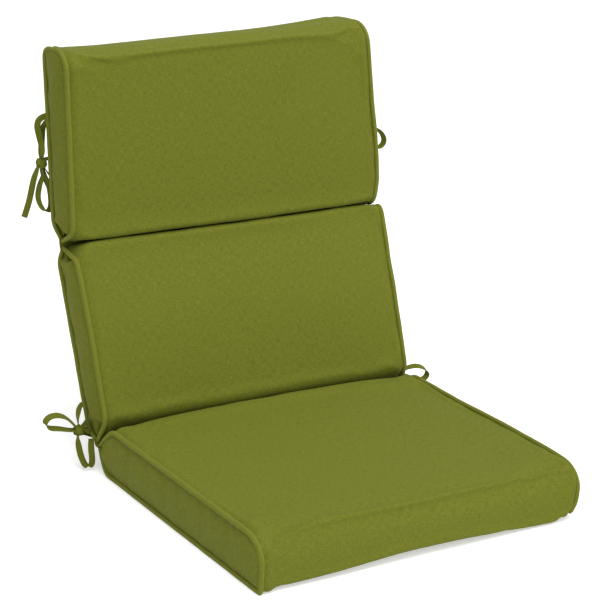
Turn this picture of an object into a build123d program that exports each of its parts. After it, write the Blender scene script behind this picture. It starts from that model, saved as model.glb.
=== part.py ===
"""High-back chair cushion in three boxed sections: seat, back and head.

The sections are one strip of cloth sewn across at two hinge seams, so the back turns on the seat and
the head section turns on the back. Each section holds a fibre fill inside a face cloth, a rear cloth
and a narrow side strip (gusset) at each end, with a piped welt where they meet. Four pairs of tie
tapes, knotted in bows, fasten the cushion to a chair.

Frame: +Z up, +X across the width, the seat's front towards -Y. The origin is the middle of the seat's
underside. Each section has its own plane: local x runs along the strip, from the seat's front edge to
the head's top, and local y points out of the side that the sitter leans on. Millimetres and degrees.
"""
import os
from math import cos, radians, sin, tan

from build123d import *

os.makedirs("parts", exist_ok=True)

# ---- driving dimensions -------------------------------------------------------------------------
pad_width = 533.0  # over the gussets: 21 inches
seat_length = 436.0  # front face to the seat hinge seam
back_length = 290.5  # seat hinge seam to head hinge seam
head_length = 278.0  # head hinge seam to the rounded top
seat_top, seat_base = 38.0, 37.0  # face and underside, measured from the hinge seam's level
back_front, back_crown, back_rear = 40.5, 47.0, 21.0
head_front, head_rear = 40.0, 29.0
head_top_rear = 34.0  # the head section is a little thicker at its top
crown_place, crown_radius = 0.56, 600.0  # where the back is fullest, as a part of its length
back_lean, head_lean = 25.9, 7.9  # back from vertical, as the cushion stands in a chair

cloth = 1.5  # cover cloth with its quilted backing
welt_radius, cord_radius = 3.5, 2.3  # piping over its filler cord
cord_play = 0.1  # filler cord to the sleeve's bore
clearance = 0.1  # between pieces of one section that lie against each other
hinge_gap = 4.0  # section end to hinge line, so that the sections turn without rubbing
hinge_seam_radius = 2.0
welt_stop = 11.0  # the welts are cut short of the hinge line by this much along the end faces

# angle of each end face from square, which leaves room for the fold
seat_relief_top, seat_relief_base = 32.0, 20.0
back_relief_front, back_relief_rear = 34.0, 45.0
back_neck_relief, head_neck_relief = 7.0, 13.0  # front faces of the upper hinge
neck_relief_rear = 40.0

tape_radius = 2.0  # a folded tape's round equivalent
knot_radius = 8.0

# ---- frame of each section ----------------------------------------------------------------------
corner_square = 2 * welt_radius + 2 * clearance  # room kept free for a welt at each long edge
half_width = pad_width / 2


def along(lean):
    """Unit vector up a section that leans back from vertical by this angle."""
    return Vector(0, sin(radians(lean)), cos(radians(lean)))


def section_plane(origin, lean):
    """Profile plane of a section: local x along it, local y out of its face, normal along +X."""
    return Plane(origin=origin, x_dir=along(lean), z_dir=(1, 0, 0))


seat_hinge = Vector(0, seat_length / 2, seat_base)
head_hinge = seat_hinge + along(back_lean) * back_length
seat_plane = section_plane(Vector(0, -seat_length / 2, seat_base), 90.0)
back_plane = section_plane(seat_hinge, back_lean)
head_plane = section_plane(head_hinge, head_lean)


# ---- outlines: corners anticlockwise, each with its corner radius -------------------------------
def run_out(height, relief):
    """How far a sloping end face runs along the section over this height, from the hinge line."""
    return hinge_gap + height * tan(radians(relief))


nose_radius = 3.0
seat_outline = [
    ((0, -seat_base), 6.0),
    ((seat_length - run_out(seat_base, seat_relief_base), -seat_base), 8.0),
    ((seat_length - hinge_gap, 0), nose_radius),
    ((seat_length - run_out(seat_top, seat_relief_top), seat_top), 20.0),
    ((0, seat_top), 44.0),
]
back_outline = [
    ((hinge_gap, 0), nose_radius),
    ((run_out(back_rear, back_relief_rear), -back_rear), 10.0),
    ((back_length - run_out(back_rear, neck_relief_rear), -back_rear), 12.0),
    ((back_length - hinge_gap, 0), nose_radius),
    ((back_length - run_out(back_front, back_neck_relief), back_front), 16.0),
    ((back_length * crown_place, back_crown), crown_radius),
    ((run_out(back_front, back_relief_front), back_front), 20.0),
]
head_outline = [
    ((hinge_gap, 0), nose_radius),
    ((run_out(head_rear, neck_relief_rear), -head_rear), 14.0),
    ((head_length, -head_top_rear), 14.0),
    ((head_length, head_front), 32.0),
    ((run_out(head_front, head_neck_relief), head_front), 14.0),
]


def inset(outline, depth):
    """The same outline moved inwards by this depth, with its corner radii reduced to match."""
    corners = [Vector(*corner) for corner, radius in outline]
    moved = []
    for i, here in enumerate(corners):
        into = (here - corners[i - 1]).normalized()
        out_of = (corners[(i + 1) % len(corners)] - here).normalized()
        normal_in, normal_out = into.rotate(Axis.Z, 90), out_of.rotate(Axis.Z, 90)
        mitre = (normal_in + normal_out) * (depth / (1 + normal_in.dot(normal_out)))
        moved.append((here + mitre, max(outline[i][1] - depth, 0.5)))
    return moved


def draw_outline(outline, depth=0.0, mode=Mode.ADD):
    """Filled outline at a depth inside the cushion's surface, drawn in the active sketch."""
    moved = inset(outline, depth)
    with BuildLine() as edge:
        FilletPolyline(*[p for p, r in moved], radius=[r for p, r in moved], close=True)
    make_face(edge.edges(), mode=mode)


def save(piece, label):
    """Name a finished piece and write it as its own file."""
    piece.part.label = label
    export_step(piece.part, f"parts/{label}.step")


# ---- the three sections -------------------------------------------------------------------------
# Each cover is one band round the profile, cut into panels: "face" is what the sitter sees. On the
# head section one piece of cloth runs up the face, over the top and down the rear.
reach = 100.0  # past any section's thickness, for the regions that divide a band
sections = {
    "seat": {
        "plane": seat_plane,
        "outline": seat_outline,
        "lower_panel": "bottom_panel",
        "lower_region": [
            (cloth, -reach),
            (seat_length, -reach),
            (seat_length, 0),
            (seat_length - hinge_gap, 0),
            (cloth, -seat_base + corner_square),
        ],
    },
    "back": {
        "plane": back_plane,
        "outline": back_outline,
        "lower_panel": "rear_panel",
        "lower_region": [(0, -reach), (back_length, -reach), (back_length, 0), (0, 0)],
    },
    "head": {
        "plane": head_plane,
        "outline": head_outline,
        "lower_panel": None,
        "lower_region": None,
    },
}


def fill_block(name, section):
    """Fibre fill: the inside of the cover, stepped at its long edges to leave room for the welts."""
    steps = (
        (half_width - corner_square, cloth + clearance),
        (half_width - cloth - clearance, corner_square + clearance),
    )
    with BuildPart() as fill:
        for reach_x, depth in steps:
            with BuildSketch(section["plane"]):
                draw_outline(section["outline"], depth)
            extrude(amount=reach_x, both=True)
    save(fill, f"{name}_fill")


def cover_panel(label, section, region, mode):
    """One cloth panel: the band between the surface and one cloth's depth, cut by a region."""
    with BuildPart() as panel:
        with BuildSketch(section["plane"]):
            draw_outline(section["outline"])
            draw_outline(section["outline"], cloth, mode=Mode.SUBTRACT)
            if region:
                with BuildLine() as divide:
                    Polyline(*region, close=True)
                make_face(divide.edges(), mode=mode)
        extrude(amount=half_width - corner_square, both=True)
    save(panel, label)


def gusset(label, section, side):
    """Flat side strip between the two welts of one end."""
    outer = section["plane"].offset(side * half_width)
    with BuildPart() as strip:
        with BuildSketch(outer):
            draw_outline(section["outline"], corner_square)
        extrude(amount=-side * cloth)
    save(strip, label)


def welt_run(section, first, last, side):
    """Centreline points and radii of a welt, from corner first to corner last of the outline."""
    depth = welt_radius + clearance
    moved = inset(section["outline"], depth)
    count = len(moved)
    chosen = [moved[i % count] for i in range(first, last + 1)]
    points = [p for p, r in chosen]
    for end, neighbour in ((0, 1), (-1, -2)):
        towards = (points[neighbour] - points[end]).normalized()
        points[end] = points[end] + towards * section["trims"][end]
    plane = section["plane"].offset(side * (half_width - depth))
    return [plane.from_local_coords(p) for p in points], [r for p, r in chosen[1:-1]]


def welt(label, section, first, last, side):
    """A piped welt: a cloth sleeve, and the filler cord inside it."""
    points, radii = welt_run(section, first, last, side)
    pieces = (("welt", welt_radius, cord_radius + cord_play), ("filler_cord", cord_radius, None))
    for kind, outer, bore in pieces:
        with BuildPart() as piping:
            with BuildLine() as route:
                FilletPolyline(*points, radius=radii)
            with BuildSketch(Plane(origin=route.line @ 0, z_dir=route.line % 0)):
                Circle(outer)
                if bore:
                    Circle(bore, mode=Mode.SUBTRACT)
            sweep(path=route.line)
        save(piping, f"{label}_{kind}")


# where each welt runs: outline corners, and how much of its two ends is left off
sections["seat"]["welts"] = {"bottom": (0, 2), "top": (2, 5)}
sections["back"]["welts"] = {"rear": (0, 3), "front": (3, 7)}
sections["head"]["welts"] = {"edge": (0, 5)}
front_corner_gap = 2 * welt_radius  # the seat's two welts meet at its bottom front corner

for name, section in sections.items():
    fill_block(name, section)
    for side_name, side in (("left", -1), ("right", 1)):
        gusset(f"{name}_gusset_{side_name}", section, side)
        for run_name, (first, last) in section["welts"].items():
            section["trims"] = {0: welt_stop, -1: welt_stop}
            if name == "seat":
                trimmed = 0 if run_name == "bottom" else -1
                section["trims"][trimmed] = front_corner_gap if run_name == "bottom" else 0.0
            welt(f"{name}_{run_name}_{side_name}", section, first, last, side)
    if section["lower_panel"]:
        region = section["lower_region"]
        cover_panel(f"{name}_face_panel", section, region, Mode.SUBTRACT)
        cover_panel(f"{name}_{section['lower_panel']}", section, region, Mode.INTERSECT)
    else:
        cover_panel(f"{name}_cover_panel", section, None, None)

# ---- hinge seams: the layers of cloth stitched through between two sections -----------------------
for label, line in (("seat_hinge_seam", seat_hinge), ("head_hinge_seam", head_hinge)):
    with BuildPart() as seam:
        with BuildSketch(Plane(origin=line, z_dir=(1, 0, 0))):
            Circle(hinge_seam_radius)
        extrude(amount=half_width - corner_square, both=True)
    save(seam, label)

# ---- tie tapes -----------------------------------------------------------------------------------
# Each pair of tapes is sewn into a rear welt and tied in a bow. A tape runs from the welt into the
# knot, round its loop and back into the knot, and out to its cut end.
# The points are for the bows on the left, at -X, and those on the right mirror them.
head_bow = {
    "knot": (-277, 402, 408),
    "a": {
        "lead": [
            (-268, 402, 478), (-277, 407, 475), (-284, 407, 465), (-281, 404, 448),
            (-276, 402, 430), (-276, 402, 415),
        ],
        "loop": [
            (-275, 402, 401), (-273, 403, 390), (-279, 403, 373), (-281, 403, 356),
            (-275, 403, 342), (-268, 403, 334), (-260, 405, 334), (-257, 406, 343),
            (-259, 406, 360), (-264, 406, 378), (-269, 405, 392), (-272, 404, 402),
        ],
        "tail": [
            (-281, 404, 402), (-287, 405, 385), (-290, 406, 365), (-293, 408, 345),
            (-298, 410, 327),
        ],
    },
    "b": {
        "lead": [
            (-268, 404, 470), (-272, 411, 461), (-271, 414, 446), (-273, 411, 430),
            (-276, 407, 414),
        ],
        "loop": [
            (-271, 407, 411), (-259, 413, 411), (-243, 417, 404), (-229, 418, 392),
            (-224, 417, 377), (-233, 415, 366), (-248, 412, 373), (-260, 410, 387),
            (-271, 408, 403),
        ],
        "tail": [
            (-274, 408, 402), (-268, 411, 386), (-258, 413, 370), (-250, 413, 350),
            (-246, 411, 330),
        ],
    },
}
hinge_bow = {
    "knot": (-284, 240, 54),
    "a": {
        "lead": [
            (-268, 231, 42), (-272, 224, 31), (-273, 217, 19), (-275, 214, 8),
            (-281, 219, 5), (-284, 227, 14), (-286, 233, 28), (-286, 238, 41),
            (-285, 240, 47),
        ],
        "loop": [
            (-289, 240, 60), (-297, 241, 71), (-308, 241, 83), (-322, 241, 89),
            (-335, 241, 88), (-342, 240, 79), (-335, 239, 70), (-318, 239, 66),
            (-303, 238, 59), (-291, 239, 56),
        ],
        "tail": [
            (-279, 243, 49), (-266, 247, 43), (-251, 249, 34), (-239, 248, 23),
            (-232, 244, 14),
        ],
    },
    "b": {
        "lead": [(-268, 235, 50), (-272, 240, 53), (-278, 241, 54)],
        "loop": [
            (-283, 243, 60), (-280, 252, 74), (-272, 264, 85), (-259, 274, 90),
            (-247, 277, 83), (-245, 271, 71), (-254, 262, 62), (-266, 253, 57),
            (-277, 245, 55),
        ],
        "tail": [
            (-278, 246, 50), (-265, 252, 49), (-249, 253, 43), (-235, 252, 34),
            (-224, 249, 23),
        ],
    },
}
# on the right the first loop of each bow stands out sideways from the cushion
head_loop_right = [
    (284, 401, 411), (298, 398, 413), (313, 396, 408), (325, 394, 398), (330, 393, 386),
    (323, 393, 376), (309, 394, 376), (297, 397, 385), (288, 400, 395), (283, 402, 403),
]
hinge_loop_right = [
    (289, 240, 59), (300, 239, 64), (314, 238, 65), (328, 237, 61), (338, 236, 52),
    (339, 235, 42), (330, 235, 36), (316, 236, 39), (303, 238, 46), (291, 239, 51),
]


def mirrored(points):
    """The same points on the other side of the cushion."""
    return [(-x, y, z) for x, y, z in points]


def tape_radii(points):
    """The largest arc at each inner point that the two runs beside it allow."""
    radii = []
    runs = [Vector(*b) - Vector(*a) for a, b in zip(points, points[1:])]
    for before, after in zip(runs, runs[1:]):
        turn = before.get_angle(after)
        shorter = min(before.length, after.length)
        radii.append(0.45 * shorter / tan(radians(turn / 2)))
    return radii


def tie_tape(label, stretches):
    """One tape of a bow, as a round tube along each stretch that is clear of the knot."""
    with BuildPart() as tape:
        for stretch_name, points in stretches.items():
            radii = tape_radii(points)
            with BuildLine() as route:
                FilletPolyline(*points, radius=radii)
            with BuildSketch(Plane(origin=route.line @ 0, z_dir=route.line % 0)):
                Circle(tape_radius)
            sweep(path=route.line)
            length = sum(edge.length for edge in route.edges())
            print(label, stretch_name, f"{length:.0f} mm, radii", [round(r) for r in radii])
    save(tape, label)


for bow_name, bow, loop_right in (
    ("head_tie", head_bow, head_loop_right),
    ("hinge_tie", hinge_bow, hinge_loop_right),
):
    for side_name in ("left", "right"):
        for tape_name in ("a", "b"):
            stretches = bow[tape_name]
            if side_name == "right":
                stretches = {key: mirrored(points) for key, points in stretches.items()}
                if tape_name == "a":
                    stretches["loop"] = loop_right
            tie_tape(f"{bow_name}_{side_name}_{tape_name}", stretches)
        centre = bow["knot"] if side_name == "left" else mirrored([bow["knot"]])[0]
        with BuildPart() as knot:
            with Locations(centre):
                Sphere(knot_radius)
        save(knot, f"{bow_name}_{side_name}_knot")
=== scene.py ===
# High-back chair cushion: seat, back and head sections, welted, sewn together at two hinge seams.
import math
import random

import bpy
import numpy as np
from mathutils import Matrix, Vector, noise


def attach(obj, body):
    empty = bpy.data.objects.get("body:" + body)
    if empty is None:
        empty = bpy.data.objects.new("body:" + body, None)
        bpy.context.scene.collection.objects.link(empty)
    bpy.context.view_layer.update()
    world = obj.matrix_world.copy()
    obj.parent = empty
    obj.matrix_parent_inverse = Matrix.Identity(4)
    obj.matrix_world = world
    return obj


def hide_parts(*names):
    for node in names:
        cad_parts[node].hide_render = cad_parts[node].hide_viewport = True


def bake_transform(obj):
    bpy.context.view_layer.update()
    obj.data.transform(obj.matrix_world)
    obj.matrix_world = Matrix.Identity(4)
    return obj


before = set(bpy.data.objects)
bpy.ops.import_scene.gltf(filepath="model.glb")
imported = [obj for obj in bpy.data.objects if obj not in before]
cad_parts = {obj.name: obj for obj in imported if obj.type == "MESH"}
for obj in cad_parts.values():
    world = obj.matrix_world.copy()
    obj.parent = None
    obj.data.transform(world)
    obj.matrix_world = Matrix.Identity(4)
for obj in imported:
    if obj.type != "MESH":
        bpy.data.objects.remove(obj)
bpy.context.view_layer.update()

mm = 0.001

# ---- Camera ------------------------------------------------------------------------------------
# A long lens a little above the cushion, at its front left, with the camera rolled by a few degrees.
camera_place = Vector((-1.6430, -2.2225, 1.2558))
camera_turn, camera_rise, camera_roll = map(math.radians, (-35.038, 19.333, 4.17))
backwards = Vector((
    math.sin(camera_turn) * math.cos(camera_rise),
    -math.cos(camera_turn) * math.cos(camera_rise),
    math.sin(camera_rise),
))
level_x = Vector((0, 0, 1)).cross(backwards).normalized()
level_y = backwards.cross(level_x)
camera_x = level_x * math.cos(camera_roll) + level_y * math.sin(camera_roll)
camera_y = level_y * math.cos(camera_roll) - level_x * math.sin(camera_roll)
lens = bpy.data.cameras.new("camera")
lens.lens, lens.sensor_width = 127.86, 36.0
camera = bpy.data.objects.new("camera", lens)
bpy.context.scene.collection.objects.link(camera)
turned = Matrix((camera_x, camera_y, backwards)).transposed().to_4x4()
camera.matrix_world = Matrix.Translation(camera_place) @ turned
bpy.context.scene.camera = camera

# ---- Tie tapes ---------------------------------------------------------------------------------
# Narrow strips of the cover cloth, folded and stitched along both edges, sewn in pairs into the
# rear welts. Each pair is tied in a bow: two beside the head section, two beside the back's foot.
tape_width, tape_thickness = 9 * mm, 1.3 * mm
hem = 9 * mm  # the cut end is turned under and is thicker


class Tone:
    """A value in a material's nodes: sums written with it add Math nodes to the material."""

    def __init__(self, tree, socket=None):
        self.tree, self.socket = tree, socket

    def make(self, kind, settings=(), out=0, **values):
        """Any node: its settings are made first, then its sockets get their values or links."""
        node = self.tree.nodes.new(kind)
        for name, setting in dict(settings).items():
            if name == "stops":
                ramp = node.color_ramp.elements
                while len(ramp) < len(setting):
                    ramp.new(0.5)
                for stop, (place, colour) in zip(ramp, setting):
                    stop.position, stop.color = place, colour
            else:
                setattr(node, name, setting)
        for name, value in values.items():
            key = int(name[1:]) if name[1:].isdigit() else name.replace("_", " ")
            if isinstance(value, Tone):
                self.tree.links.new(value.socket, node.inputs[key])
            else:
                node.inputs[key].default_value = value
        return Tone(self.tree, node.outputs[out])

    def maths(self, operation, first, second=0.0):
        return self.make("ShaderNodeMath", {"operation": operation}, i0=first, i1=second)

    def __add__(self, other):
        return self.maths("ADD", self, other)

    def __sub__(self, other):
        return self.maths("SUBTRACT", self, other)

    def __rsub__(self, other):
        return self.maths("SUBTRACT", other, self)

    def __mul__(self, other):
        return self.maths("MULTIPLY", self, other)

    def __truediv__(self, other):
        return self.maths("DIVIDE", self, other)

    __radd__, __rmul__ = __add__, __mul__


def woven_cloth(name, colour, thread, bias=False, streaks=1.0, relief=1.0):
    """Olefin cloth in a plain weave with slubs. The thread pitch is in metres, as the UVs are."""
    material = bpy.data.materials.new(name)
    material.use_nodes = True
    tree = material.node_tree
    shader = tree.nodes["Principled BSDF"]
    start = Tone(tree)
    lie = start.make("ShaderNodeUVMap", {"uv_map": "cloth"})
    if bias:  # piping is cut across the weave
        lie = start.make("ShaderNodeVectorRotate", {"rotation_type": "Z_AXIS"},
                         Vector=lie, Angle=math.radians(45))
    drift = start.make("ShaderNodeTexNoise", {}, "Color", Vector=lie, Scale=70.0, Detail=2.0)
    drift = start.make("ShaderNodeVectorMath", {"operation": "SCALE"}, i0=drift, i3=0.9 * mm)
    lie = start.make("ShaderNodeVectorMath", {"operation": "ADD"}, i0=lie, i1=drift)
    across = start.make("ShaderNodeSeparateXYZ", {}, 0, Vector=lie) / thread
    up = start.make("ShaderNodeSeparateXYZ", {}, 1, Vector=lie) / thread

    def yarns(here, along, phase):
        """Height of one set of yarns, each going over and under the other set in turn."""
        round_top = start.maths("ABSOLUTE", start.maths("SINE", here * math.pi))
        step = start.maths("FLOOR", here) * math.pi + along * math.pi + phase
        return round_top * (start.maths("COSINE", step) * 0.42 + 0.58)

    warp = yarns(across, up + 0.5, 0.0)
    weft = yarns(up, across + 0.5, math.pi)
    weave = start.maths("MAXIMUM", warp, weft)

    def slubs(stretch, seed):
        """Thick and thin places along single yarns, as long soft streaks."""
        moved = start.make("ShaderNodeMapping", {}, Vector=lie, Scale=stretch,
                           Location=(seed, seed * 0.7, 0.0))
        return start.make("ShaderNodeTexNoise", {"noise_dimensions": "2D"}, 0,
                          Vector=moved, Scale=1.0, Detail=2.0, Roughness=0.55)

    upright = slubs((860.0, 120.0, 1.0), 3.1)
    level = slubs((120.0, 860.0, 1.0), 8.7)
    cloudy = start.make("ShaderNodeTexNoise", {"noise_dimensions": "2D"}, 0,
                        Vector=lie, Scale=16.0, Detail=3.0)
    mottle = (upright - 0.5) * 0.62 + (level - 0.5) * 0.62
    shade = mottle * streaks + (cloudy - 0.5) * 0.04 + (weave - 0.62) * 0.20 + 1.0
    base = start.make("ShaderNodeVectorMath", {"operation": "SCALE"}, i0=colour, i3=shade)
    tree.links.new(base.socket, shader.inputs["Base Color"])
    rough = (upright + level) * 0.09 + 0.79 - weave * 0.05
    tree.links.new(rough.socket, shader.inputs["Roughness"])
    shader.inputs["Sheen Weight"].default_value = 0.04
    shader.inputs["Sheen Roughness"].default_value = 0.55
    shader.inputs["Sheen Tint"].default_value = (0.62, 0.68, 0.22, 1.0)
    shader.inputs["Specular IOR Level"].default_value = 0.14
    height = weave * 0.55 + (upright + level) * 0.5
    bump = start.make("ShaderNodeBump", {}, Height=height,
                      Strength=0.42 * relief, Distance=0.35 * mm)
    tree.links.new(bump.socket, shader.inputs["Normal"])
    return material


tape_cloth = woven_cloth("tie tape cloth", (0.096, 0.107, 0.0085), 0.75 * mm, streaks=0.5)
bows = {
    "head": {
        "knot": (-274, 397, 406),
        "a": {
            "lead": [(-265, 397, 476), (-274, 402, 473), (-281, 402, 463), (-278, 399, 446),
                     (-273, 397, 428), (-273, 397, 413)],
            "loop": [(-272, 397, 399), (-270, 398, 388), (-276, 398, 371), (-278, 398, 354),
                     (-272, 398, 340), (-265, 398, 332), (-257, 400, 332), (-254, 401, 341),
                     (-256, 401, 358), (-261, 401, 376), (-266, 400, 390), (-269, 399, 400)],
            "tail": [(-278, 399, 400), (-284, 400, 383), (-287, 401, 363), (-290, 403, 343),
                     (-295, 405, 325)],
            "flat": {"lead": (-0.9, 0.4, 0.0), "loop": (-0.6, 0.8, 0.1), "tail": (-0.8, 0.5, 0.1)},
            "length": 0.338,
        },
        "b": {
            "lead": [(-265, 399, 468), (-269, 406, 459), (-268, 409, 444), (-270, 406, 428),
                     (-273, 402, 412)],
            "loop": [(-268, 402, 409), (-256, 408, 409), (-240, 412, 402), (-226, 413, 390),
                     (-221, 412, 375), (-230, 410, 364), (-245, 407, 371), (-257, 405, 385),
                     (-268, 403, 401)],
            "tail": [(-271, 403, 400), (-265, 406, 384), (-255, 408, 368), (-247, 408, 348),
                     (-243, 406, 328)],
            "flat": {"lead": (-1.0, 0.2, 0.0), "loop": (-0.4, 1.0, 0.2), "tail": (-1.0, 0.3, 0.1)},
            "length": 0.309,
        },
        "right loop": [(286, 401, 409), (300, 398, 411), (315, 396, 406), (327, 394, 396),
                       (332, 393, 384), (325, 393, 374), (311, 394, 374), (299, 397, 383),
                       (290, 400, 393), (285, 402, 401)],
        "right length": 0.318,
        "body": "head",
    },
    "hinge": {
        "knot": (-284, 240, 54),
        "a": {
            "lead": [(-268, 231, 42), (-272, 224, 31), (-273, 217, 19), (-275, 214, 8),
                     (-281, 219, 5), (-284, 227, 14), (-286, 233, 28), (-286, 238, 41),
                     (-285, 240, 47)],
            "loop": [(-289, 240, 60), (-296, 241, 69), (-307, 240, 79), (-320, 240, 84),
                     (-333, 240, 83), (-340, 239, 75), (-333, 239, 66), (-317, 239, 63),
                     (-303, 238, 59), (-291, 239, 56)],
            "tail": [(-279, 243, 49), (-266, 247, 43), (-251, 249, 34), (-239, 248, 23),
                     (-232, 244, 14)],
            "flat": {"lead": (-1.0, 0.3, 0.0), "loop": (-0.3, 0.8, 0.7), "tail": (-0.3, 0.8, 0.6)},
            "length": 0.306,
        },
        "b": {
            "lead": [(-268, 235, 50), (-272, 240, 53), (-278, 241, 54)],
            "loop": [(-283, 243, 60), (-280, 251, 70), (-273, 262, 78), (-260, 273, 82),
                     (-248, 276, 77), (-245, 271, 68), (-254, 262, 62), (-266, 253, 57),
                     (-277, 245, 55)],
            "tail": [(-278, 246, 50), (-265, 252, 49), (-249, 253, 43), (-235, 252, 34),
                     (-224, 249, 23)],
            "flat": {"lead": (-0.3, 0.5, 1.0), "loop": (-0.5, 0.8, -0.2), "tail": (-0.3, 0.9, 0.6)},
            "length": 0.221,
        },
        "right loop": [(289, 240, 56), (300, 239, 59), (313, 238, 60), (326, 237, 56),
                       (335, 236, 49), (336, 235, 41), (328, 235, 35), (315, 236, 37),
                       (303, 238, 43), (291, 239, 48)],
        "right length": 0.295,
        "body": "back",
    },
}


def unit(rows):
    """Rows of vectors, each brought to length 1."""
    return rows / np.maximum(np.linalg.norm(rows, axis=-1, keepdims=True), 1e-9)


def soften(rows, times, closed=False):
    """Rows averaged with their neighbours, so that a direction changes gradually."""
    for _ in range(times):
        if closed:
            rows = (np.roll(rows, 1, 0) + 2 * rows + np.roll(rows, -1, 0)) / 4
        else:
            rows = np.vstack([rows[:1], (rows[:-2] + 2 * rows[1:-1] + rows[2:]) / 4, rows[-1:]])
    return rows


def cloth_mesh(name, points, faces, sheet_uv, material):
    """A smooth mesh object, with the cloth's own flat coordinates as its UVs, in metres."""
    mesh = bpy.data.meshes.new(name)
    mesh.from_pydata([tuple(p) for p in points], [], faces)
    layer = mesh.uv_layers.new(name="cloth")
    layer.data.foreach_set("uv", np.asarray(sheet_uv, dtype=np.float32).ravel())
    mesh.materials.append(material)
    mesh.polygons.foreach_set("use_smooth", [True] * len(mesh.polygons))
    mesh.update()
    piece = bpy.data.objects.new(name, mesh)
    bpy.context.scene.collection.objects.link(piece)
    return piece


def skin(rings, around, along, closed=False):
    """Faces and UVs between rings of points, with flat ends where the run is open."""
    count, sides = rings.shape[:2]
    faces, sheet_uv = [], []
    for i in range(count if closed else count - 1):
        j = (i + 1) % count
        for s in range(sides):
            t = (s + 1) % sides
            faces.append((i * sides + s, i * sides + t, j * sides + t, j * sides + s))
            sheet_uv += [(around[s], along[i]), (around[s + 1], along[i]),
                         (around[s + 1], along[i + 1]), (around[s], along[i + 1])]
    if not closed:
        for i, order in ((0, range(sides - 1, -1, -1)), (count - 1, range(sides))):
            faces.append([i * sides + s for s in order])
            sheet_uv += [(around[s], along[i]) for s in order]
    return faces, sheet_uv


def tape_rings(route, flats, thicker, closed=False):
    """Cross-sections of a flat tape along a route; flats says which way its width lies."""
    if closed:
        ahead = unit(np.roll(route, -1, 0) - np.roll(route, 1, 0))
    else:
        ahead = unit(np.gradient(route, axis=0))
    wide = unit(flats - (flats * ahead).sum(1, keepdims=True) * ahead)
    thick = np.cross(ahead, wide)
    half = tape_width / 2
    # half the outline: from the folded edge in, over the stitch line, to the raised middle
    outline = [(1.0, 0.0), (0.965, 0.62), (0.87, 0.95), (0.72, 0.70), (0.55, 1.0), (0.0, 1.12)]
    upper = outline + [(-x, y) for x, y in outline[-2::-1]]
    shape = np.array(upper + [(x, -y) for x, y in upper[-2:0:-1]])
    rings = []
    for i, (p, w, n) in enumerate(zip(route, wide, thick)):
        cup = 0.55 * mm * math.sin(i * 0.043) * (1 - shape[:, 0] ** 2)
        lift = shape[:, 1] * tape_thickness / 2 * thicker[i] + cup
        rings.append(p + np.outer(shape[:, 0] * half, w) + np.outer(lift, n))
    around = np.concatenate([[0], np.cumsum(np.linalg.norm(
        np.diff(np.vstack([shape, shape[:1]]) * (half, 0), axis=0), axis=1))])
    return np.array(rings), around


def tie_tape(name, stretches, knot, body, replaced):
    """One tape of a bow on a single smooth line: welt, knot, loop, knot and hemmed end."""
    centre = Vector(knot) * mm
    route_points, hints = [], []
    drawn_in = (0.45, 0.85, 0.1)  # beside the knot the tape is turned on its edge
    for part in ("lead", "loop", "tail"):
        for point in stretches[part]:
            route_points.append(Vector(point) * mm)
            away = min(1.0, (route_points[-1] - centre).length / (34 * mm))
            hints.append([n + (w - n) * away ** 1.5
                          for n, w in zip(drawn_in, stretches["flat"][part])])
        if part == "lead":
            route_points.append(centre)
            hints.append(drawn_in)
        if part == "loop":  # over the top of the knot and down again
            route_points += [centre + Vector((0.003, 0.001, 0.005)),
                             centre + Vector((-0.003, -0.001, 0.005))]
            hints += [drawn_in] * 2
    curve = bpy.data.curves.new(name + "_route", "CURVE")
    curve.dimensions = "3D"
    line = curve.splines.new("NURBS")
    line.points.add(len(route_points) - 1)
    for point, place in zip(line.points, route_points):
        point.co = (*place, 1.0)
    line.order_u, line.use_endpoint_u = 3, True
    line.resolution_u = 12
    holder = bpy.data.objects.new(name + "_route", curve)
    bpy.context.scene.collection.objects.link(holder)
    traced = bpy.data.meshes.new_from_object(holder)
    route = np.array([tuple(v.co) for v in traced.vertices])
    bpy.data.objects.remove(holder)
    bpy.data.meshes.remove(traced)
    keep = np.concatenate([[True], np.linalg.norm(np.diff(route, axis=0), axis=1) > 0.02 * mm])
    route = route[keep]
    gone = np.concatenate([[0], np.cumsum(np.linalg.norm(np.diff(route, axis=0), axis=1))])
    at = np.linspace(0, len(hints) - 1, len(route))
    flats = np.stack([np.interp(at, range(len(hints)), [h[k] for h in hints])
                      for k in range(3)], axis=1)
    flats = soften(flats, 40)
    ease = np.clip((gone[-1] - gone) / hem, 0, 1)
    thicker = 1.0 + 0.75 * (ease < 0.93) * (1 - ease ** 6)
    rings, around = tape_rings(route, flats, thicker)
    faces, sheet_uv = skin(rings, around, gone)
    piece = cloth_mesh(name, rings.reshape(-1, 3), faces, sheet_uv, tape_cloth)
    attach(piece, body)
    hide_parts(replaced)
    return piece


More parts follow.
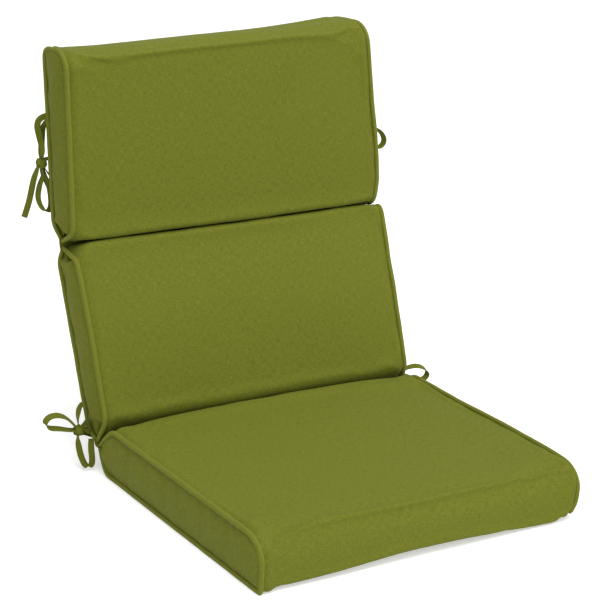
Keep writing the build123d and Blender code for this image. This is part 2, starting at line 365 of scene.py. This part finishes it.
def tie_knot(name, knot, side, seed, body, replaced):
    """The bow's knot: a tight lump of folded tape with two turns wrapped round it."""
    rnd = random.Random(seed)
    centre = Vector(knot) * mm
    points, faces, sheet_uv = [], [], []
    turns = 48
    wraps = (((side * 0.35, 0.2, 1.0), 7.6, 0.86, 1.0), ((side * 0.9, 0.3, -0.5), 6.6, 0.92, 0.9),
             ((0.3, -0.8, 0.45), 6.0, 1.05, 0.95))
    for axis, radius, squeeze, narrow in wraps:
        axis = Vector(axis).normalized()
        first = axis.orthogonal().normalized()
        second = axis.cross(first)
        wobble = rnd.uniform(0, 6.28)
        route = []
        for i in range(turns):
            a = 2 * math.pi * i / turns
            reach = radius * (1 + 0.07 * math.sin(2 * a + wobble) + 0.04 * math.sin(5 * a))
            slide = axis * (1.1 * math.sin(a + wobble)) * mm
            route.append(centre + (first * math.cos(a) + second * math.sin(a) * squeeze)
                         * reach * mm + slide)
        route = np.array([tuple(p) for p in route])
        flats = np.tile(np.array(axis), (turns, 1))
        rings, around = tape_rings(route, flats * 1.0, [1.25] * turns, closed=True)
        middle = route[:, None, :]
        rings = middle + (rings - middle) * narrow
        along = np.linspace(0, 2 * math.pi * radius * mm, turns + 1)
        new_faces, new_uv = skin(rings, around, along, closed=True)
        offset = len(points)
        points += [tuple(p) for p in rings.reshape(-1, 3)]
        faces += [[v + offset for v in face] for face in new_faces]
        sheet_uv += new_uv
    rows, sides = 12, 20
    core = []
    for r in range(1, rows):
        b = math.pi * r / rows
        for s in range(sides):
            a = 2 * math.pi * s / sides
            d = Vector((math.sin(b) * math.cos(a), math.sin(b) * math.sin(a), math.cos(b)))
            swell = 6.3 + 1.1 * noise.noise(d * 1.7 + Vector((seed, 0, 0)))
            core.append(centre + d * swell * mm)
    offset = len(points)
    points += [tuple(p) for p in core]
    for r in range(rows - 2):
        for s in range(sides):
            t = (s + 1) % sides
            a, b = offset + r * sides, offset + (r + 1) * sides
            faces.append((a + s, b + s, b + t, a + t))
            sheet_uv += [(s * mm, r * mm), (s * mm, (r + 1) * mm),
                         ((s + 1) * mm, (r + 1) * mm), ((s + 1) * mm, r * mm)]
    for r, order in ((0, range(sides)), (rows - 2, range(sides - 1, -1, -1))):
        faces.append([offset + r * sides + s for s in order])
        sheet_uv += [(s * mm, r * mm) for s in order]
    piece = cloth_mesh(name, points, faces, sheet_uv, tape_cloth)
    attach(piece, body)
    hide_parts(replaced)


for bow_name, bow in bows.items():
    for side_name, side in (("left", 1), ("right", -1)):
        knot = (bow["knot"][0] * side, *bow["knot"][1:])
        for tape_name in ("a", "b"):
            tape = bow[tape_name]
            stretches = {part: [(x * side, y, z) for x, y, z in tape[part]]
                         for part in ("lead", "loop", "tail")}
            stretches["flat"] = tape["flat"]
            length = tape["length"]
            if tape_name == "a" and side_name == "right":
                stretches["loop"], length = bow["right loop"], bow["right length"]
            label = f"{bow_name}_tie_{side_name}_{tape_name}"
            tie_tape(label + "_tape", stretches, knot, bow["body"], label)
        label = f"{bow_name}_tie_{side_name}_knot"
        tie_knot(label + "_wrap", knot, side, 3 + len(label) + side, bow["body"], label)

# ---- Section covers ----------------------------------------------------------------------------
# Each section is a boxed cover of woven cloth filled with fibre. The face cloth is pulled down to
# the welts at both sides, where it puckers, and the side gussets pinch to nothing at the hinges.
half_width = 266.5 * mm
seam_depth = 3.6 * mm  # cloth is held this far inside the outline under a welt
seat_length, back_length, head_length = 436.0, 290.5, 278.0
back_lean, head_lean = math.radians(25.9), math.radians(7.9)
rungs, stations = 12, 90


def sloped(height, slope, gap=2.0):
    """How far a section's end face runs along it at this height from the hinge line."""
    return gap + height * math.tan(math.radians(slope))


def up_the(lean):
    return np.array([0.0, math.sin(lean), math.cos(lean)])


def out_of(lean):
    return np.array([0.0, -math.cos(lean), math.sin(lean)])


seat_hinge = np.array([0.0, seat_length / 2 * mm, 37 * mm])
head_hinge = seat_hinge + up_the(back_lean) * back_length * mm
# Outline corners in millimetres, along the section and out of its face, with their radii: one
# outline at the side seams, where the ends are pinched, and one for the full middle. The breaks
# are where the outlines' sides end: lower and upper side, near end and far end.
sections = {
    "seat": {
        "origin": np.array([0.0, -seat_length / 2 * mm, 37 * mm]),
        "along": np.array([0.0, 1.0, 0.0]), "out": np.array([0.0, 0.0, 1.0]),
        "side": [((0, -37), 5), ((seat_length - sloped(37, 32), -37), 20),
                 ((seat_length - 1.5, 0), 2), ((seat_length - sloped(38, 43), 38), 24),
                 ((0, 38), 40)],
        "side breaks": [(0, -37), (seat_length - 5, -5), (seat_length - 6, 5), (11, 27)],
        "middle": [((0, -37), 5), ((seat_length - sloped(37, 22), -37), 12),
                   ((seat_length - 2, 0), 2), ((seat_length - sloped(46, 28), 46), 20),
                   ((0, 44), 54)],
        "middle breaks": [(0, -37), (seat_length - 4, -6), (seat_length - 5, 6), (12, 31)],
        "hinged": ("far",), "rows": 88, "length": seat_length, "fullness": 5,
    },
    "back": {
        "origin": seat_hinge, "along": up_the(back_lean), "out": out_of(back_lean),
        "side": [((1.5, 0), 2), ((sloped(21, 45), -21), 12),
                 ((back_length - sloped(21, 42), -21), 14), ((back_length - 1.5, 0), 2),
                 ((back_length - sloped(38.5, 34), 38.5), 18),
                 ((back_length * 0.56, 42.5), 600), ((sloped(39, 33), 39), 22)],
        "side breaks": [(6, -4), (back_length - 6, -4), (back_length - 5, 5), (5, 5)],
        "middle": [((2, 0), 2), ((sloped(25, 42), -25), 16),
                   ((back_length - sloped(25, 36), -25), 16), ((back_length - 2, 0), 2),
                   ((back_length - sloped(43, 0.5), 43), 11),
                   ((back_length * 0.56, 50), 600), ((sloped(44, 31), 44), 18)],
        "middle breaks": [(6, -4), (back_length - 6, -4), (back_length - 3, 6), (5, 6)],
        "hinged": ("near", "far"), "rows": 62, "length": back_length, "fullness": 28,
    },
    "head": {
        "origin": head_hinge, "along": up_the(head_lean), "out": out_of(head_lean),
        "side": [((1.5, 0), 2), ((sloped(27, 42), -27), 16), ((head_length, -32), 14),
                 ((head_length, 38), 30), ((sloped(38, 24), 38), 15)],
        "side breaks": [(6, -4), (head_length - 4, -28), (head_length - 9, 29), (5, 5)],
        "middle": [((2, 0), 2), ((sloped(32, 36), -32), 16), ((head_length + 1, -38), 18),
                   ((head_length + 1, 45), 34), ((sloped(44, 9), 44), 8)],
        "middle breaks": [(6, -4), (head_length - 4, -33), (head_length - 9, 35), (3.5, 6)],
        "hinged": ("near",), "rows": 60, "length": head_length, "fullness": 24,
    },
}
head_taper = {-1: -3 * mm, 1: 18 * mm}  # the head section narrows towards its top
head_stretch = {-1: 3 * mm, 1: 17 * mm}  # and stands a little taller at one side than the other
slack_corner = 8 * mm  # the faces stand out over the welts at two right corners
lifted_front = 8 * mm  # the seat's front bottom edge curves up off the floor in its middle


def rounded_loop(corners):
    """A closed outline through rounded corners, as points about half a millimetre apart."""
    places = np.array([p for p, r in corners], dtype=float)
    loop = []
    for i, (here, radius) in enumerate(zip(places, [r for p, r in corners])):
        came = unit(here - places[i - 1])
        goes = unit(places[(i + 1) % len(places)] - here)
        turn = math.atan2(came[0] * goes[1] - came[1] * goes[0], came @ goes)
        cut = radius * math.tan(abs(turn) / 2)
        left = np.array([-came[1], came[0]]) * np.sign(turn)
        centre = here - came * cut + left * radius
        steps = max(int(abs(turn) * radius / 0.5), 2)
        for k in range(steps + 1):
            a = turn * k / steps
            c, s = math.cos(a), math.sin(a)
            spoke = -left * radius
            loop.append(centre + np.array([c * spoke[0] - s * spoke[1],
                                           s * spoke[0] + c * spoke[1]]))
    dense = []
    for here, there in zip(loop, loop[1:] + loop[:1]):
        steps = max(int(np.linalg.norm(there - here) / 0.5), 1)
        dense += [here + (there - here) * k / steps for k in range(steps)]
    return np.array(dense)


def spaced(part):
    """Where rows lie along a side, from 0 to 1: closer together towards both its ends."""
    return part - 0.6 * np.sin(2 * math.pi * part) / (2 * math.pi)


def ring_of(section, which):
    """Points and outward directions round a section's profile, ordered lower, far, upper, near."""
    loop = rounded_loop(section[which])
    ahead = unit(soften(np.roll(loop, -2, 0) - np.roll(loop, 2, 0), 4, closed=True))
    outward = np.stack([ahead[:, 1], -ahead[:, 0]], axis=1)
    at = [int(np.argmin(np.linalg.norm(loop - np.array(b), axis=1))) 
          for b in section[which + " breaks"]]
    points, facing = [], []
    counts = (section["rows"], rungs, section["rows"], rungs)
    for first, last, count in zip(at, at[1:] + at[:1], counts):
        if last <= first:
            last += len(loop)
        run = np.arange(first, last + 1) % len(loop)
        gone = np.concatenate([[0], np.cumsum(np.linalg.norm(np.diff(loop[run], axis=0),
                                                             axis=1))])
        even = np.linspace(0, 1, count + 1)[:-1]
        want = gone[-1] * (spaced(even) if count != rungs else even)
        for source, target in ((loop, points), (outward, facing)):
            target += list(np.stack([np.interp(want, gone, source[run][:, k])
                                     for k in (0, 1)], axis=1))
    return np.array(points) * mm, unit(np.array(facing))


def settle(name, x, u, v):
    """Where a point of the cut shape goes as the section takes its filled shape."""
    side = x / half_width
    if name == "head":
        up = max(u, 0.0) / (head_length * mm)
        taper = head_taper[1 if x > 0 else -1] * up ** 1.4
        lean = (side + 1) / 2
        u += (head_stretch[-1] * (1 - lean) + head_stretch[1] * lean) * up ** 1.6
        if x > 0:
            rim = float(ease(side, 0.92, 1.0)) * up ** 8
            x += 3.5 * mm * side * float(ease(up, 0.03, 0.2) * (1 - ease(up, 0.35, 0.6)))
            x -= slack_corner * 0.3 * rim
            u -= slack_corner * 0.6 * rim
            low_end = float((1 - ease(up, 0.03, 0.17)) * ease(v, 0, 36 * mm))
            rim = float(ease(side, 0.93, 1.0))
            u += (4 * side ** 2 - 15 * rim) * mm * low_end
            x -= 6 * mm * low_end * rim
        return x - side * taper, u, v
    if name == "back" and x > 0:
        up = u / (back_length * mm)
        x += side * (8 * mm * up - 3 * mm + 4 * mm * float(ease(up, 0.65, 0.95)))
        top_end = float(ease(up, 0.78, 0.92) * ease(v, 2 * mm, 36 * mm))
        u += (4 * side ** 2 + 18 * float(ease(side, 0.93, 1.0))) * mm * top_end
    if name == "seat":
        front = 1 - float(ease(u, 2 * mm, 70 * mm))
        close = 1 - float(ease(u, 0, 45 * mm))
        low = float(ease(-v, 10 * mm, 37 * mm))
        high = float(ease(v, -10 * mm, 20 * mm))
        v += lifted_front * low * close * (1 - side ** 2)
        if x > 0:
            rim = float(ease(side, 0.94, 1.0))
            v += 4 * mm * high * float(ease(side, 0.6, 0.9)) * (1 - float(ease(u, 0.15, 0.3)))
            x += slack_corner * front * high * float(ease(side, 0.7, 0.93))
            under = float(ease(side, 0.80, 1.0)) * low * close
            x -= slack_corner * (0.6 * rim * front * high + under)
            u += slack_corner * 0.5 * rim * front
            v += slack_corner * (under - 0.7 * rim * high * front)
    return x, u, v


def ease(value, low, high):
    """Smooth step from 0 at low to 1 at high."""
    t = np.clip((value - low) / (high - low), 0.0, 1.0)
    return t * t * (3 - 2 * t)


def cover_shape(name, section):
    """The cover before it is filled: points, faces, UVs, and what each point is on the cover."""
    ring, facing = ring_of(section, "side")
    full, full_facing = ring_of(section, "middle")
    rows, length = section["rows"], section["length"] * mm
    count = len(ring)
    step = np.linalg.norm(np.roll(full, -1, 0) - full, axis=1)
    arc = np.concatenate([[0], np.cumsum(step)])
    kind = (["lower"] * rows + ["far"] * rungs + ["upper"] * rows + ["near"] * rungs)
    hinge_far = np.full(count, 1.0)
    for end in section["hinged"]:
        members = [i for i, k in enumerate(kind) if k == end]
        members += [(members[-1] + 1) % count]
        for i in range(count):
            gaps = [min(abs(arc[i] - arc[m]), arc[-1] - abs(arc[i] - arc[m])) for m in members]
            hinge_far[i] = min(hinge_far[i], min(gaps))
    points, spot = [], []
    across = np.linspace(-1, 1, stations + 1)
    for i in range(count):
        wide = half_width - seam_depth
        for s in across:
            x = s * wide
            inward = seam_depth * (1 - ease(wide - abs(x), 0, 13 * mm))
            filled = 1 - abs(s) ** section["fullness"]
            u, v = ring[i] + (full[i] - ring[i]) * filled - facing[i] * inward
            points.append(settle(name, x, u, v))
            spot.append((0, wide - abs(x), hinge_far[i]))
    faces, sheet_uv = [], []
    wide_row = stations + 1
    for i in range(count):
        j = (i + 1) % count
        for s in range(stations):
            faces.append((i * wide_row + s, i * wide_row + s + 1,
                          j * wide_row + s + 1, j * wide_row + s))
            left, right = across[s] * half_width, across[s + 1] * half_width
            sheet_uv += [(left, arc[i]), (right, arc[i]), (right, arc[i + 1]), (left, arc[i + 1])]

    def edge_index(i, k):
        """Ring number of a point on the border of a gusset's grid."""
        if k == 0:
            return i
        if i == rows:
            return rows + k
        if k == rungs:
            return 2 * rows + rungs - i
        return (2 * rows + 2 * rungs - k) % count

    for side, column in ((-1, 0), (1, stations)):
        border = {}
        for i in range(rows + 1):
            for k in range(rungs + 1):
                if i in (0, rows) or k in (0, rungs):
                    border[i, k] = edge_index(i, k) * wide_row + column
        grid = dict(border)
        place = {key: np.array(points[v]) for key, v in border.items()}
        for i in range(1, rows):
            for k in range(1, rungs):
                a, b = i / rows, k / rungs
                blend = ((1 - b) * place[i, 0] + b * place[i, rungs]
                         + (1 - a) * place[0, k] + a * place[rows, k]
                         - (1 - a) * (1 - b) * place[0, 0] - a * (1 - b) * place[rows, 0]
                         - (1 - a) * b * place[0, rungs] - a * b * place[rows, rungs])
                height = np.linalg.norm(place[i, rungs] - place[i, 0])
                near = min(b, 1 - b) * height
                down = float(spaced(a))
                ends = min(down, 1 - down) * length
                edge = min(near, ends + 4 * mm)
                rise = seam_depth * ease(edge, 0, 12 * mm) + 2.2 * mm * ease(near, 0, 34 * mm)
                blend[0] += side * rise
                grid[i, k] = len(points)
                points.append(tuple(blend))
                hinged = [h for h, on in ((down, "near" in section["hinged"]),
                                          (1 - down, "far" in section["hinged"])) if on]
                spot.append((side, edge, min(hinged + [9]) * length))
        for i in range(rows):
            for k in range(rungs):
                face = (grid[i, k], grid[i + 1, k], grid[i + 1, k + 1], grid[i, k + 1])
                faces.append(face if side > 0 else face[::-1])
                sheet_uv += [(points[v][1], points[v][2] + 2.0) for v in faces[-1]]
    return np.array(points), faces, sheet_uv, np.array(spot)


def to_world(section, points):
    """From across, along and out of a section to the cushion's own frame."""
    flat = np.zeros_like(points)
    flat[:, 0] = points[:, 0]
    return (section["origin"] + flat + np.outer(points[:, 1], section["along"])
            + np.outer(points[:, 2], section["out"]))


cover_cloth = woven_cloth("cover cloth", (0.102, 0.1135, 0.0090), 1.15 * mm)
covers = {}
for name, section in sections.items():
    points, faces, sheet_uv, spot = cover_shape(name, section)
    piece = cloth_mesh(name + "_cover", to_world(section, points), faces, sheet_uv, cover_cloth)
    covers[name] = {"piece": piece, "flat": points, "spot": spot, "section": section}

# The fill pushes the cloth out: pressure from inside, with the seams held.
fill_pressure, fill_frames = 3.2, 14
scene = bpy.context.scene
for name, cover in covers.items():
    piece = cover["piece"]
    held = piece.vertex_groups.new(name="held")
    on_seam = (cover["spot"][:, 0] == 0) & (cover["spot"][:, 1] < 0.2 * mm)
    on_hinge = (cover["spot"][:, 0] == 0) & (cover["spot"][:, 2] < 0.2 * mm)
    held.add([int(v) for v in np.nonzero(on_seam | on_hinge)[0]], 1.0, "REPLACE")
    cloth = piece.modifiers.new("filled", "CLOTH")
    cloth.settings.quality = 5
    cloth.settings.mass = 0.3
    cloth.settings.tension_stiffness = 18
    cloth.settings.compression_stiffness = 18
    cloth.settings.shear_stiffness = 8
    cloth.settings.bending_stiffness = 0.6
    cloth.settings.use_pressure = True
    cloth.settings.uniform_pressure_force = fill_pressure
    cloth.settings.shrink_min = -0.012
    cloth.settings.vertex_group_mass = "held"
    cloth.settings.effector_weights.gravity = 0
    cloth.collision_settings.use_collision = False
    cloth.collision_settings.use_self_collision = False
    cloth.point_cache.frame_start, cloth.point_cache.frame_end = 1, fill_frames
scene.frame_start, scene.frame_end = 1, fill_frames
for moment in range(1, fill_frames + 1):
    scene.frame_set(moment)
graph = bpy.context.evaluated_depsgraph_get()
for name, cover in covers.items():
    filled = cover["piece"].evaluated_get(graph).to_mesh()
    cover["moved"] = np.array([tuple(v.co) for v in filled.vertices])
    cover["piece"].evaluated_get(graph).to_mesh_clear()
for cover in covers.values():
    cover["piece"].modifiers.clear()
    cover["piece"].vertex_groups.clear()
scene.frame_set(1)


def pucker(place, spot, seed):
    """Small gathers along the side seams, soft hollows on the faces, and folds at the hinges."""
    side, edge, hinge = spot
    p = Vector((float(place[0]), float(place[1]), float(place[2])))
    broad = noise.noise(p * 9.0 + Vector((seed, 0, 0))) * 1.1
    broad += noise.noise(p * 22.0 + Vector((0, seed, 0))) * 0.25
    gather = noise.noise(Vector((p.y * 34 + p.z * 34, p.x * 8, seed)))
    fade = math.exp(-((edge - 6 * mm) / (11 * mm)) ** 2)
    lift = broad * min(1.0, edge / (25 * mm)) + gather * 1.0 * fade
    if side == 0:  # gathers run square to the hinge seam on the faces
        tuck = noise.noise(Vector((p.x * 30, hinge * 12, seed + 5)))
        lift += tuck * 1.3 * math.exp(-((hinge - 14 * mm) / (16 * mm)) ** 2)
    return lift * mm


# How far each gusset's fold reaches from its hinge, how much farther that is for each radian
# towards the face, and how deep the fold is, all in millimetres.
fold_reach = {("head", "near"): (27, -8, 9.0), ("back", "far"): (24, 10, 9.0),
              ("back", "near"): (36, 0, 8.0), ("seat", "far"): (18, 4, 6.0)}


def pleats(name, section, flat, spot):
    """Folds pressed into a gusset where it is pinched at a hinge, fanning out from the pinch."""
    side, edge, hinge = spot
    if side == 0:
        return 0.0
    depth = 0.0
    for end, along in (("near", 0.0), ("far", None)):
        if end not in section["hinged"]:
            continue
        length = {"seat": seat_length, "back": back_length}[name] if along is None else 0.0
        away = abs(flat[1] - length * mm)
        angle = math.atan2(flat[2], max(away, 1 * mm))
        radius = math.hypot(flat[2], away)
        reach, slant, deep = fold_reach[name, end]
        rim = (reach + slant * angle) * mm
        inside = ease(radius, 4 * mm, 11 * mm) * (1 - ease(radius, rim - 2 * mm, rim + 3 * mm))
        depth -= deep * mm * inside * (0.55 + 0.9 * math.exp(-((angle - 0.6) / 0.3) ** 2))
        depth += 0.35 * deep * mm * inside * math.exp(-((angle - 0.1) / 0.12) ** 2)
        depth += 2.0 * mm * math.exp(-((radius - rim - 6 * mm) / (5 * mm)) ** 2)
    return depth * min(1.0, edge / (4 * mm))


for seed, (name, cover) in enumerate(covers.items()):
    piece, spot, section = cover["piece"], cover["spot"], cover["section"]
    start = np.array([tuple(v.co) for v in piece.data.vertices])
    shape = start
    if "moved" in cover:
        shift = cover["moved"] - start
        size = np.maximum(np.linalg.norm(shift, axis=1), 1e-9)
        most = np.where(spot[:, 0] == 0, 6.0, 4.0) * mm * ease(spot[:, 2], 6 * mm, 70 * mm)
        most = np.maximum(most, 0.8 * mm)
        shape = start + shift * (np.tanh(size / most) * most / size)[:, None]
    piece.data.vertices.foreach_set("co", shape.ravel())
    piece.data.update()
    facing = np.array([tuple(v.normal) for v in piece.data.vertices])
    lift = np.array([pucker(p, s, seed * 7.3 + 1.0) for p, s in zip(cover["flat"], spot)])
    lift += np.array([pleats(name, section, p, s) for p, s in zip(cover["flat"], spot)])
    shape = shape + facing * lift[:, None]
    if name == "seat":  # the underside lies flat
        shape[:, 2] = np.maximum(shape[:, 2], 0.0)
    piece.data.vertices.foreach_set("co", shape.ravel())
    piece.data.update()
    smoother = piece.modifiers.new("smooth", "SUBSURF")
    smoother.levels = smoother.render_levels = 1
    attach(piece, name)
    stood_for = {"seat": ("fill", "face_panel", "bottom_panel", "gusset_left", "gusset_right"),
                 "back": ("fill", "face_panel", "rear_panel", "gusset_left", "gusset_right"),
                 "head": ("fill", "cover_panel", "gusset_left", "gusset_right")}[name]
    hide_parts(*[f"{name}_{part}" for part in stood_for])

# ---- Welts -------------------------------------------------------------------------------------
# Piping: a bias strip of the same cloth round a filler cord, sewn into both side seams of every
# section. The seat's top welt turns down its front, and the head's goes over the top.
welt_radius, welt_depth = 3.75 * mm, 2.7 * mm
piping_cloth = woven_cloth("piping cloth", (0.117, 0.129, 0.0125), 0.95 * mm, bias=True,
                           streaks=0.6)
welt_sides = 14
welts = {
    "seat": {"bottom": ("lower",), "top": ("upper", "near")},
    "back": {"rear": ("lower",), "front": ("upper",)},
    "head": {"edge": ("lower", "far", "upper")},
}


def welt_line(name, section, runs, side):
    """Centreline of a welt along the named runs of the profile, drawn in towards the hinges."""
    ring, facing = ring_of(section, "side")
    rows, count = section["rows"], len(ring)
    starts = {"lower": (0, rows), "far": (rows, rungs), "upper": (rows + rungs, rows),
              "near": (2 * rows + rungs, rungs)}
    first = starts[runs[0]][0]
    last = sum(starts[runs[-1]])
    tucked = 5  # the welt goes on into the pinch by this many points
    ends = {"lower": ("near", "far"), "upper": ("far", "near"), "near": (None, None)}
    into_first = runs[0] == "lower" and "near" in section["hinged"]
    into_first |= runs[0] == "upper" and "far" in section["hinged"]
    into_last = runs[-1] == "lower" and "far" in section["hinged"]
    into_last |= runs[-1] == "upper" and "near" in section["hinged"]
    numbers = list(range(first - tucked * into_first, last + 1 + tucked * into_last))
    line = []
    for n in numbers:
        i = n % count
        u, v = ring[i] - facing[i] * welt_depth
        line.append(settle(name, side * (half_width - welt_depth), u, v))
    return np.array(line), into_first, into_last


for name, runs_of in welts.items():
    section = sections[name]
    for run_name, runs in runs_of.items():
        for side_name, side in (("left", -1), ("right", 1)):
            line, into_first, into_last = welt_line(name, section, runs, side)
            line = to_world(section, line)
            gone = np.concatenate([[0], np.cumsum(np.linalg.norm(np.diff(line, axis=0),
                                                                 axis=1))])
            want = np.linspace(0, gone[-1], int(gone[-1] / (2.5 * mm)))
            line = np.stack([np.interp(want, gone, line[:, k]) for k in range(3)], axis=1)
            line = soften(line, 6)
            ahead = unit(np.gradient(line, axis=0))
            level = np.tile([side * 1.0, 0.0, 0.0], (len(line), 1))
            level = unit(level - (level * ahead).sum(1, keepdims=True) * ahead)
            upright = np.cross(ahead, level)
            seed = Vector((len(name) * 3.0, len(run_name) * 5.0, side * 2.0))
            rings = []
            for i, p in enumerate(line):
                end_gap = min(want[i] if into_first else 1.0,
                              gone[-1] - want[i] if into_last else 1.0)
                slim = 0.80 + 0.20 * float(ease(end_gap, 0, 22 * mm))
                waver = noise.noise_vector(Vector(p * 38) + seed) * 0.45 * mm
                ring = []
                for s in range(welt_sides):
                    a = 2 * math.pi * s / welt_sides
                    twist = want[i] * 900 + a * 1.0
                    crimp = 0.10 * mm * math.sin(twist) * (0.4 + noise.noise(Vector(p * 60)))
                    radius = welt_radius * slim + crimp
                    ring.append(p + (level[i] * math.cos(a) + upright[i] * math.sin(a)) * radius
                                + np.array(waver))
                rings.append(ring)
            rings = np.array(rings)
            around = np.linspace(0, 2 * math.pi * welt_radius, welt_sides + 1)
            faces, sheet_uv = skin(rings, around, want)
            label = f"{name}_{run_name}_{side_name}"
            if name == "seat":
                rings[..., 2] = np.maximum(rings[..., 2], 0.0)
            piece = cloth_mesh(label + "_piping", rings.reshape(-1, 3), faces, sheet_uv,
                               piping_cloth)
            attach(piece, name)
            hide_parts(label + "_welt", label + "_filler_cord")

# ---- Hinge seams -------------------------------------------------------------------------------
# The layers of two neighbouring covers, stitched through in one line.
# The strip's cloth is the cover cloth made darker: painted shade for the dark crease between the
# sections.
seam_cloth_painted_shade = woven_cloth("seam cloth with painted crease shade", (0.080, 0.089, 0.0070), 1.15 * mm)
strip_reach, strip_half = 9 * mm, 2.0 * mm
for label, hinge, lower, upper, low_along, high_along in (
        ("seat_hinge_seam", seat_hinge, "seat", "back", np.array([0.0, 1.0, 0.0]),
         up_the(back_lean)),
        ("head_hinge_seam", head_hinge, "back", "head", up_the(back_lean), up_the(head_lean))):
    around_seam = 16
    columns = np.linspace(-1, 1, 2 * stations + 1)
    low_out = np.array([0.0, -low_along[2], low_along[1]])
    high_out = np.array([0.0, -high_along[2], high_along[1]])
    rings = []
    for c in columns:
        ring = []
        for s in range(around_seam):
            a = 2 * math.pi * s / around_seam
            reach = math.cos(a) * strip_reach
            along, out = (low_along, low_out) if reach < 0 else (high_along, high_out)
            stitch = 0.45 * mm * math.cos(c * 265 / 3.2 * 2 * math.pi) * math.exp(
                -(reach / (2 * mm)) ** 2)
            thick = strip_half * math.sin(a) * (1 - 0.45 * math.exp(-(reach / (2 * mm)) ** 2))
            ring.append(hinge + along * reach + out * (thick + stitch * math.sin(a))
                        + np.array([c * (half_width + 1.5 * mm), 0, 0]))
        rings.append(ring)
    rings = np.array(rings)
    around = np.linspace(0, 4 * strip_reach, around_seam + 1)
    faces, sheet_uv = skin(rings, around, columns * half_width)
    piece = cloth_mesh(label + "_strip", rings.reshape(-1, 3), faces, sheet_uv, seam_cloth_painted_shade)
    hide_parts(label)
    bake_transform(piece)

# ---- Floor and light ---------------------------------------------------------------------------
# A pale studio sweep, a white room and one large soft light from the front right.
floor_mesh = bpy.data.meshes.new("floor")
floor_mesh.from_pydata([(-9, -9, 0), (9, -9, 0), (9, 9, 0), (-9, 9, 0)], [], [(0, 1, 2, 3)])
floor = bpy.data.objects.new("floor", floor_mesh)
floor.location.z = -0.4 * mm
bpy.context.scene.collection.objects.link(floor)
paint = bpy.data.materials.new("studio floor")
paint.use_nodes = True
paint.node_tree.nodes["Principled BSDF"].inputs["Base Color"].default_value = (0.7, 0.7, 0.7, 1)
paint.node_tree.nodes["Principled BSDF"].inputs["Roughness"].default_value = 0.9
paint.node_tree.nodes["Principled BSDF"].inputs["Emission Color"].default_value = (1, 1, 1, 1)
paint.node_tree.nodes["Principled BSDF"].inputs["Emission Strength"].default_value = 0.42
floor_mesh.materials.append(paint)

room = bpy.data.worlds.new("studio")
room.use_nodes = True
room.node_tree.nodes["Background"].inputs["Color"].default_value = (1, 1, 1, 1)
room.node_tree.nodes["Background"].inputs["Strength"].default_value = 0.85
bpy.context.scene.world = room


def soft_light(name, place, aim, size, power):
    lamp = bpy.data.lights.new(name, "AREA")
    lamp.shape, lamp.size, lamp.energy = "SQUARE", size, power
    holder = bpy.data.objects.new(name, lamp)
    holder.location = place
    holder.rotation_euler = (Vector(aim) - Vector(place)).to_track_quat("-Z", "Y").to_euler()
    bpy.context.scene.collection.objects.link(holder)


soft_light("key", (1.6, -2.2, 2.3), (0, 0.1, 0.25), 1.8, 12)
soft_light("low", (0.5, -1.7, 0.45), (0, -0.2, 0.05), 1.0, 8)
soft_light("top", (0.0, -0.4, 3.0), (0, 0.1, 0.2), 2.4, 82)
bpy.context.scene.view_settings.view_transform = "Standard"
